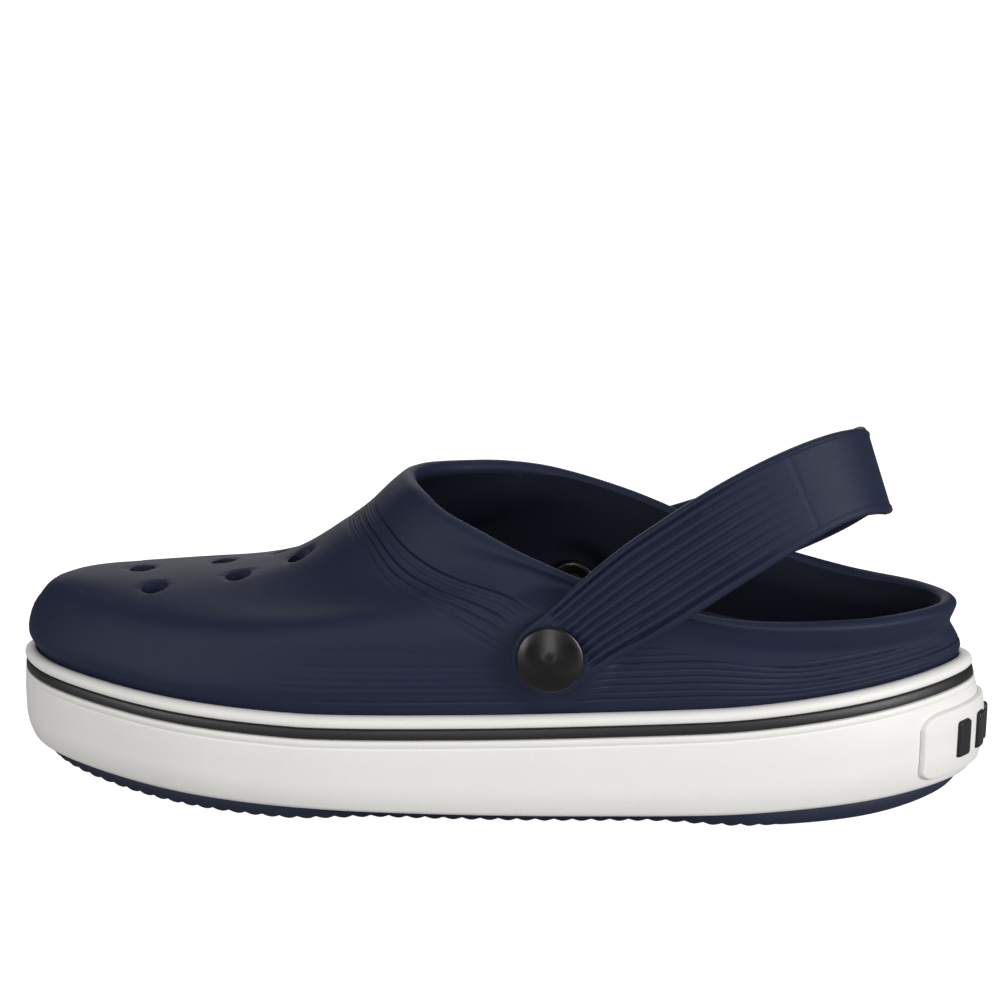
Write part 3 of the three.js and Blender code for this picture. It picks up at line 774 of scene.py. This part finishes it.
def upper_grooves(u, points, from_rim, sizes):
    """How deep the fine moulded lines are at each point of the outer face, in mm."""
    turn = np.minimum(u, 1 - u)[:, None]
    x = points[..., 0]
    over_sole = points[..., 2] - midsole_top(x)

    heel = smooth(-x, 60, 95)
    pitch = mix(1.0, 0.76, heel) * sizes.groove_pitch / MM
    first = mix(3.6, 1.6, heel)
    top = mix(18.8, 10.4, smooth(-x, 42, 84)) - 5.5 * smooth(-x, 108, 140)
    lower = line_set((over_sole - first) / pitch, SIDE_LINES, 0.26)
    lower = lower * smooth(-x, -68, -44) * (1 - smooth(over_sole, top, top + 1.2))
    lower = lower * mix(0.75, 1.15, smooth(-x, 20, 60))

    position = (from_rim - LINE_START) / collar_pitch(u, sizes)
    under_collar = line_set(position, COLLAR_LINES, 0.2, step=0.45)
    under_collar = under_collar * (1 - smooth(turn, 0.262, 0.29))

    toe = 0.22 * line_set((over_sole - 5.5) / 2.2, TOE_LINES, 0.4) * smooth(x, 98, 118)
    depth = sizes.groove_depth / MM
    return depth * np.maximum(np.maximum(lower, 1.3 * under_collar), toe)


def blur(values, axis, reach, wrap):
    """A Gaussian average of nearby rows, with a spread of reach rows."""
    k = np.arange(-3 * reach, 3 * reach + 1)
    weights = np.exp(-0.5 * (k / reach) ** 2)
    weights /= weights.sum()
    padding = [(0, 0)] * values.ndim
    padding[axis] = (3 * reach, 3 * reach)
    padded = np.pad(values, padding, mode="wrap" if wrap else "edge")
    return np.apply_along_axis(lambda line: np.convolve(line, weights, mode="valid"), axis, padded)


def ease_shoulder(points, u, shares):
    """The outer face with the shoulder beside the instep softened into the side."""
    turn = np.minimum(u, 1 - u)[:, None]
    soft = blur(blur(points, 0, 8, True), 1, 17, False)
    where = smooth(turn, 0.02, 0.08) * (1 - smooth(turn, 0.29, 0.34))
    where = where * smooth(shares, 0.08, 0.26) * (1 - smooth(shares, 0.66, 0.8))
    return mix(points, soft, where[..., None])


def flatten_round_pivot(points, limit, side, reach, fade):
    """Moves points near the rivet's axis to a flat at y = limit that eases out past reach."""
    away = np.hypot(points[..., 0] - PIVOT_X, points[..., 2] - PIVOT_Z)
    near = (1 - smooth(away, reach, reach + fade)) * (np.sign(points[..., 1]) == side)
    points[..., 1] = mix(points[..., 1], limit, near)


class CLOG_OT_upper(bpy.types.Operator):
    """Add the moulded upper with its rolled collar, fine lines and vent holes"""

    bl_idname = "clog.upper"
    bl_label = "Upper"

    def execute(self, context):
        sizes = context.scene.clog_sizes
        count = ROUND_COUNT
        u = np.arange(count) / count
        shares, dense, dense_normals, drop = skin(u)
        at_roll = np.array([np.interp(ROLL_SHARE, shares, row) for row in drop])[:, None]
        wanted = row_distances(u, at_roll, drop[:, :1], sizes)
        row_shares = np.array([np.interp(-w, -d, shares) for w, d in zip(wanted, drop)])
        outer = open_curve(dense, row_shares)
        normals = unit(open_curve(dense_normals, row_shares))
        last, last_normal = outer[:, -1].copy(), normals[:, -1]
        inner = outer[:, ::8] - WALL * normals[:, ::8]
        outer = outer - upper_grooves(u, outer, wanted, sizes)[..., None] * normals
        for side, seat in ((1, OUTER_SEAT), (-1, INNER_SEAT)):
            flatten_round_pivot(outer, seat, side, LOBE_RADIUS + 0.4, 8)
            flatten_round_pivot(inner, seat - side * WALL, side, BACK_RADIUS + 1.2, 6)
        vents = [
            (x + i * VENT_STEP[0], y + i * VENT_STEP[1])
            for x, y, many in VENT_ROWS
            for i in range(many)
        ]
        for x, y in vents:
            away = np.hypot(outer[..., 0] - x, outer[..., 1] - y)
            near = 1 - smooth(away, VENT_RADIUS - 0.2, VENT_RADIUS + 0.9)
            lip = 0.5 * near * (outer[..., 2] > 55)
            outer = outer - lip[..., None] * normals
        up = unit(open_curve(dense, [ROLL_SHARE + 0.004])[:, 0] - last)
        turns = np.linspace(0, np.pi, 12)[1:-1]
        rolled = [
            last - last_normal * WALL * (1 - np.cos(a)) / 2 + up * RIM_ROLL * np.sin(a)
            for a in turns
        ]
        feet = []
        for p in (outer[:, 0], inner[:, 0]):
            foot = p.copy()
            foot[:, 2] = cup_floor(p[:, 0]) + GAP
            feet.append(foot)
        outer_rings, inner_rings = outer.transpose(1, 0, 2), inner.transpose(1, 0, 2)[::-1]
        rings = [feet[0], *outer_rings, *rolled, *inner_rings, feet[1]]
        verts, faces = np.concatenate(rings), ring_faces(len(rings), count, hoop=True)
        piece = add_piece("upper_foam", "shoe", "navy_foam", "upper", verts, faces)
        # The inner faces of the same foam get the darker inside navy: painted shade inside the
        # shoe.
        piece.data.materials.append(finish("navy_shaded_inside"))
        painted_shade_faces = np.arange(len(faces)) >= (1 + len(outer_rings) + len(rolled)) * count
        piece.data.polygons.foreach_set("material_index", painted_shade_faces.astype(np.int32))
        holes = [
            (Matrix.Translation((x * MM, y * MM, COLLAR_FRONT * MM)), VENT_RADIUS, COLLAR_FRONT)
            for x, y in vents
        ]
        cut_holes(context, piece, [*holes, (pivot_place(), SHANK_RADIUS + GAP, 4 * HALF_WIDTH)])
        return {"FINISHED"}


# --------------------- strap
def strap_centre(turn):
    """Points of the strap's middle line, from the outer rivet (0) round to the inner one (pi)."""
    bend = 2 / STRAP_SQUARENESS
    sine, cosine = np.maximum(0, np.sin(turn)), np.cos(turn)
    back = STRAP_REACH * sine**bend
    outer = OUTER_SEAT + STRAP_GAP + STRAP_THICKNESS / 2
    inner = INNER_SEAT - STRAP_GAP - STRAP_THICKNESS / 2
    side = np.sign(cosine) * np.abs(cosine) ** bend
    flatten = (STRAP_SLOPE - STRAP_SLOPE_BACK) / (2 * STRAP_REACH)
    outer_rise = STRAP_SLOPE * back - flatten * back**2
    inner_rise = STRAP_INNER_SLOPE * back
    bulge = STRAP_BOW * np.sin(np.pi * past(back, LOBE_RADIUS, STRAP_REACH - LOBE_RADIUS))
    return np.column_stack(
        [
            PIVOT_X - back,
            (outer + inner) / 2 + side * (outer - inner) / 2 + np.sign(cosine) * bulge,
            PIVOT_Z + mix(outer_rise, inner_rise, (1 - cosine) / 2),
        ]
    )


def strap_line():
    """Points and directions down the strap with its round ends, and distances from a rivet."""
    fine = strap_centre(np.linspace(0, np.pi, 6001))
    run = run_along(fine)
    at = np.linspace(0, run[-1], STRAP_STEPS)
    centre = np.column_stack([np.interp(at, run, fine[:, k]) for k in range(3)])
    kernel = np.hanning(15)
    kernel /= kernel.sum()
    pad = np.pad(np.gradient(centre, axis=0), ((7, 7), (0, 0)), mode="edge")
    tangent = unit(
        np.column_stack([np.convolve(pad[:, k], kernel, mode="valid") for k in range(3)])
    )
    lobe = np.linspace(-1, 0, LOBE_STEPS + 1)[:-1]
    reach = LOBE_RADIUS * np.sin(lobe * np.pi / 2)
    before = centre[0] + reach[:, None] * tangent[0]
    after = centre[-1] - reach[::-1, None] * tangent[-1]
    from_end = np.concatenate([reach, np.minimum(at, run[-1] - at), reach[::-1]])
    tangent = np.pad(tangent, ((LOBE_STEPS, LOBE_STEPS), (0, 0)), mode="edge")
    return np.concatenate([before, centre, after]), tangent, from_end


def rounded_edge(from_edge, radius):
    """How far a face drops towards its rounded edge."""
    corner = np.clip(1 - from_edge / radius, 0, 1)
    return radius * (1 - np.sqrt(np.maximum(0, 1 - corner**2)))


def strap_face(w, half, from_end, rounding, rib_depth):
    """Heights of the strap's outer face: ribs, edge lips, back panel and the line before it."""
    from_edge = half - np.abs(w)
    inside = smooth(from_edge, mix(1.1, 2.0, w < 0), mix(1.7, 2.7, w < 0))
    field = np.clip((w - 0.5) / (half - 2.2), -1, 1)
    rib = 0.5 - 0.5 * np.cos((field + 1) * np.pi * RIB_COUNT)
    soft = 1 - 0.5 * smooth(from_end, 50, 74)
    ribbed = smooth(from_end, *RIB_START) * (1 - smooth(from_end, *RIB_END))
    ribs = rib_depth * (1 - rib) ** 1.6 * soft[:, None] * inside * ribbed[:, None]
    panel = PANEL_DEPTH * smooth(from_end, 10.5, 14)[:, None] * inside
    line = 0.16 * np.exp(-(((from_end - PANEL_LINE) / 0.45) ** 2))[:, None] * inside
    return STRAP_THICKNESS / 2 - ribs - panel - line - rounded_edge(from_edge, rounding)


class CLOG_OT_strap(bpy.types.Operator):
    """Add the heel strap with its ribbed legs, edge lips and smooth back panel"""

    bl_idname = "clog.strap"
    bl_label = "Heel Strap"

    def execute(self, context):
        centre, tangent, from_end = strap_line()
        back = np.clip((PIVOT_X - centre[:, 0]) / STRAP_REACH, 0, 1)
        tilt = np.radians(mix(STRAP_TILT, STRAP_TILT_BACK, back))
        across = np.column_stack([np.sin(tilt), 0 * tilt, np.cos(tilt)])
        across = unit(across - tangent * np.sum(across * tangent, axis=1, keepdims=True))
        out = np.cross(tangent, across)
        leg, rear = smooth(back, 0, 0.35), smooth(back, 0.5, 1)
        width = mix(mix(2 * LOBE_RADIUS, STRAP_MIDDLE_WIDTH, leg), STRAP_BACK_WIDTH, rear)
        round_end = 2 * np.sqrt(np.maximum(0.05, LOBE_RADIUS**2 - from_end**2))
        half = np.where(from_end < 0, round_end, width)[:, None] / 2
        rounding = np.minimum(1.1, half * 0.5)
        w_high, w_low = half * np.linspace(-1, 1, 89), half * np.linspace(1, -1, 23)
        rib_depth = context.scene.clog_sizes.rib_depth / MM
        high = strap_face(w_high, half, from_end, rounding, rib_depth)
        low = rounded_edge(half - np.abs(w_low), rounding) - STRAP_THICKNESS / 2
        w = np.concatenate([w_high, w_low], axis=1)[..., None]
        t = np.concatenate([high, low], axis=1)[..., None]
        rings = centre[:, None] + across[:, None] * w + out[:, None] * t
        rows, columns = rings.shape[:2]
        verts = rings.reshape(-1, 3)
        faces = [*ring_faces(rows, columns), *end_caps(rows, columns)]
        piece = add_piece("heel_strap_foam", "strap", "navy_foam", "heel_strap", verts, faces)
        cut_holes(context, piece, [(pivot_place(), SHANK_RADIUS + STRAP_GAP, 4 * HALF_WIDTH)])
        return {"FINISHED"}


# --------------------- rivets
def lathe_along_y(profile, side):
    """A turned piece on the rivet axis, from (radius, y) pairs out to the tip: points and faces."""
    angle = 2 * np.pi * np.arange(TURNED_COUNT) / TURNED_COUNT
    rings = [
        np.column_stack(
            [
                PIVOT_X + radius * np.cos(angle),
                np.full(TURNED_COUNT, side * y),
                PIVOT_Z + radius * np.sin(angle),
            ]
        )
        for radius, y in profile
    ]
    rows = len(rings)
    faces = [*ring_faces(rows, TURNED_COUNT), *end_caps(rows, TURNED_COUNT)]
    if side > 0:
        faces = [list(f)[::-1] for f in faces]
    return np.concatenate(rings), faces


class CLOG_OT_rivets(bpy.types.Operator):
    """Add the domed rivet heads and the discs that lock them inside the wall"""

    bl_idname = "clog.rivets"
    bl_label = "Rivets"

    def execute(self, context):
        for name, side, seat in (("outer", 1, OUTER_SEAT), ("inner", -1, -INNER_SEAT)):
            under = seat + 2 * STRAP_GAP + STRAP_THICKNESS
            inside = seat - WALL - GAP
            rim, lip = 1.0, 0.35
            crown = HEAD_HEIGHT - rim
            radius = (HEAD_RADIUS**2 + crown**2) / (2 * crown)
            widest = np.arcsin((HEAD_RADIUS - lip) / radius)
            dome = [
                (radius * np.sin(a), under + rim + radius * np.cos(a) - radius + crown)
                for a in np.linspace(widest, 0.004, 36)
            ]
            profile = [
                (SHANK_RADIUS, inside - BACK_THICKNESS + 0.2), (SHANK_RADIUS, under),
                (HEAD_RADIUS - 0.3, under), (HEAD_RADIUS, under + 0.25),
                (HEAD_RADIUS, under + rim - 0.3), (HEAD_RADIUS - 0.1, under + rim - 0.08), *dome,
            ]
            verts, faces = lathe_along_y(profile, side)
            head = f"rivet_head_{name}"
            add_piece(head, "shoe", "black_plastic", f"rivet_{name}", verts, faces)
            end = inside - BACK_THICKNESS
            disc = [
                (SHANK_RADIUS + GAP, inside), (BACK_RADIUS - 0.3, inside),
                (BACK_RADIUS, inside - 0.3), (BACK_RADIUS - 0.2, end + 0.6),
                (BACK_RADIUS - 0.8, end), (SHANK_RADIUS + 1.2, end),
                (SHANK_RADIUS + 0.6, end + 0.4), (SHANK_RADIUS + GAP, end + 0.4),
            ]
            verts, faces = lathe_along_y(disc, -side)
            verts[:, 1] *= -1
            disc_name, disc_node = f"rivet_disc_{name}", f"rivet_back_{name}"
            add_piece(disc_name, "shoe", "black_plastic", disc_node, verts, faces[:-2])
        return {"FINISHED"}


# --------------------- heel badge
def crowded(count):
    """Shares from -1 to 1 that lie closer together towards both ends."""
    share = np.linspace(-1, 1, count)
    return np.sign(share) * (1 - (1 - np.abs(share)) ** 1.6)


def wrapped_pad(middle, half, low, high, near, far, corner, rows, columns):
    """A raised pad with rounded corners that follows the sidewall, as points and faces."""
    s, v = crowded(columns), crowded(rows)
    u = middle + half * s
    ends = edge(np.array([middle - half, middle + half]))
    half_mm = np.linalg.norm(ends[1] - ends[0]) / 2
    x = edge(u)[:, 0]
    tall = (midsole_top(x) - midsole_bottom(x)).mean() * (high - low) / 2
    dx = np.maximum(0, np.abs(s[None, :]) * half_mm - (half_mm - corner))
    dz = np.maximum(0, np.abs(v[:, None]) * tall - (tall - corner))
    raised = smooth(corner - np.hypot(dx, dz), -0.05, 0.55) ** 0.5
    grid = [
        sidewall(u, np.full(columns, share), -mix(near - 0.4, far, lift))
        for share, lift in zip(mix(low, high, (v + 1) / 2), raised)
    ]
    return np.concatenate(grid), grid_faces(rows, columns)[:, ::-1]


class CLOG_OT_badge(bpy.types.Operator):
    """Add the raised heel badge and its row of plain bars"""

    bl_idname = "clog.badge"
    bl_label = "Heel Badge"

    def execute(self, context):
        far = GAP + BADGE_THICKNESS
        verts, faces = wrapped_pad(
            0.5, BADGE_SPAN, BADGE_LOW, BADGE_HIGH, GAP, far, BADGE_CORNER, 60, 200
        )
        add_piece("heel_badge_plate", "shoe", "white_foam", "heel_badge", verts, faces)
        near = far + GAP
        far = near + BAR_THICKNESS
        for i in range(BAR_COUNT):
            middle = 0.5 + (i - (BAR_COUNT - 1) / 2) * BAR_PITCH
            verts, faces = wrapped_pad(
                middle, BAR_HALF, BAR_LOW, BAR_HIGH, near, far, BAR_CORNER, 40, 24
            )
            bar, node = f"badge_bar_pad_{i + 1}", f"badge_bar_{i + 1}"
            add_piece(bar, "shoe", "black_rubber", node, verts, faces)
        return {"FINISHED"}


# --------------------- stage
# Each light: name, place, target, width, height, watts.
HEART = (0, 0, 0.05)
LIGHTS = (
    ("Key", (-1.5, 0.95, 0.55), HEART, 0.9, 1.1, 29),
    ("Overhead", (-0.1, -0.3, 1.2), HEART, 1.4, 0.7, 3),
    ("Far Side", (0.3, -1.5, 0.7), HEART, 1.4, 1.0, 6),
    ("Fill", (1.4, 1.0, 0.45), HEART, 0.8, 0.8, 12),
    ("Rivet Strip", (0.05, 1.0, 0.42), (-0.02, 0, 0.1), 0.03, 0.8, 2.8),
)
FLOOR_REACH, FLOOR_DROP = 60.0, 0.0002


def add_area_light(name, place, target, size, size_y, power):
    data = bpy.data.lights.new(name, "AREA")
    data.shape, data.size, data.size_y = "RECTANGLE", size, size_y
    data.energy = power
    light = bpy.data.objects.new(name, data)
    light.location = place
    light.rotation_euler = (Vector(target) - Vector(place)).to_track_quat("-Z", "Y").to_euler()
    bpy.context.scene.collection.objects.link(light)


class CLOG_OT_stage(bpy.types.Operator):
    """Add the pale floor, the soft lights and the camera"""

    bl_idname = "clog.stage"
    bl_label = "Stage"

    def execute(self, context):
        scene = context.scene
        eye = Vector((-0.06547, 0.62293, 0.21870))
        right = Vector((-0.99452, -0.10453, 0.0))
        up = Vector((0.02793, -0.26577, 0.96363))
        forward = Vector((0.10073, -0.95835, -0.26724))
        data = bpy.data.cameras.new("Camera")
        data.lens, data.sensor_width = 77.35, 36.0
        data.shift_x, data.shift_y = 0.0061, 0.141
        data.clip_start, data.clip_end = 0.01, 200.0
        camera = bpy.data.objects.new("Camera", data)
        camera.matrix_world = Matrix(
            [[right[k], up[k], -forward[k], eye[k]] for k in range(3)] + [[0, 0, 0, 1]]
        )
        scene.collection.objects.link(camera)
        scene.camera = camera

        mesh = bpy.data.meshes.new("floor")
        corners = [
            (x * FLOOR_REACH, y * FLOOR_REACH, -FLOOR_DROP)
            for x, y in ((-1, -1), (1, -1), (1, 1), (-1, 1))
        ]
        mesh.from_pydata(corners, [], [(0, 1, 2, 3)])
        floor = bpy.data.objects.new("floor", mesh)
        scene.collection.objects.link(floor)
        paint = bpy.data.materials.new("Pale Floor")
        paint.use_nodes = True
        tree = paint.node_tree
        shader = tree.nodes["Principled BSDF"]
        for socket, value in (
            ("Base Color", (0.4, 0.4, 0.4, 1)),
            ("Roughness", 0.9),
            ("Specular IOR Level", 0.1),
            ("Emission Color", (0.98, 0.98, 0.98, 1)),
        ):
            shader.inputs[socket].default_value = value
        lit = add_node(tree, "LightPath")
        wire(tree, (lit, "Is Camera Ray", shader, "Emission Strength"))
        mesh.materials.append(paint)

        world = bpy.data.worlds.new("Studio")
        world.use_nodes = True
        tree = world.node_tree
        tree.nodes.clear()
        path = add_node(tree, "LightPath")
        seen = add_node(tree, "Background", in_Color=(1, 1, 1, 1), in_Strength=1.0)
        soft = add_node(tree, "Background", in_Color=(1, 1, 1, 1), in_Strength=0.08)
        either = add_node(tree, "MixShader")
        out = add_node(tree, "OutputWorld")
        wire(
            tree,
            (path, "Is Camera Ray", either, "Fac"), (soft, 0, either, 1), (seen, 0, either, 2),
            (either, 0, out, "Surface"),
        )
        scene.world = world

        for light in LIGHTS:
            add_area_light(*light)
        scene.view_settings.view_transform = "Standard"
        return {"FINISHED"}


# --------------------- panel
STEPS = (
    "clog.midsole", "clog.pinstripe", "clog.outsole", "clog.footbed", "clog.upper",
    "clog.strap", "clog.rivets", "clog.badge", "clog.stage",
)


class CLOG_PT_panel(bpy.types.Panel):
    """Lists the clog's pieces, sizes and colours"""

    bl_label = "Garden Clog"
    bl_idname = "CLOG_PT_panel"
    bl_space_type = "VIEW_3D"
    bl_region_type = "UI"
    bl_category = "Clog"

    def draw(self, context):
        for step in STEPS:
            self.layout.operator(step)
        for group in (context.scene.clog_sizes, context.scene.clog_colours):
            for name in group.__annotations__:
                self.layout.prop(group, name)


CLASSES = (
    ClogSizes, ClogColours, CLOG_OT_midsole, CLOG_OT_pinstripe, CLOG_OT_outsole, CLOG_OT_footbed,
    CLOG_OT_upper, CLOG_OT_strap, CLOG_OT_rivets, CLOG_OT_badge, CLOG_OT_stage, CLOG_PT_panel,
)


def register():
    for cls in CLASSES:
        bpy.utils.register_class(cls)
    bpy.types.Scene.clog_sizes = PointerProperty(type=ClogSizes)
    bpy.types.Scene.clog_colours = PointerProperty(type=ClogColours)


def unregister():
    del bpy.types.Scene.clog_colours
    del bpy.types.Scene.clog_sizes
    for cls in reversed(CLASSES):
        bpy.utils.unregister_class(cls)


def main():
    register()
    for step in STEPS:
        group, name = step.split(".")
        getattr(getattr(bpy.ops, group), name)()


if __name__ == "__main__":
    main()
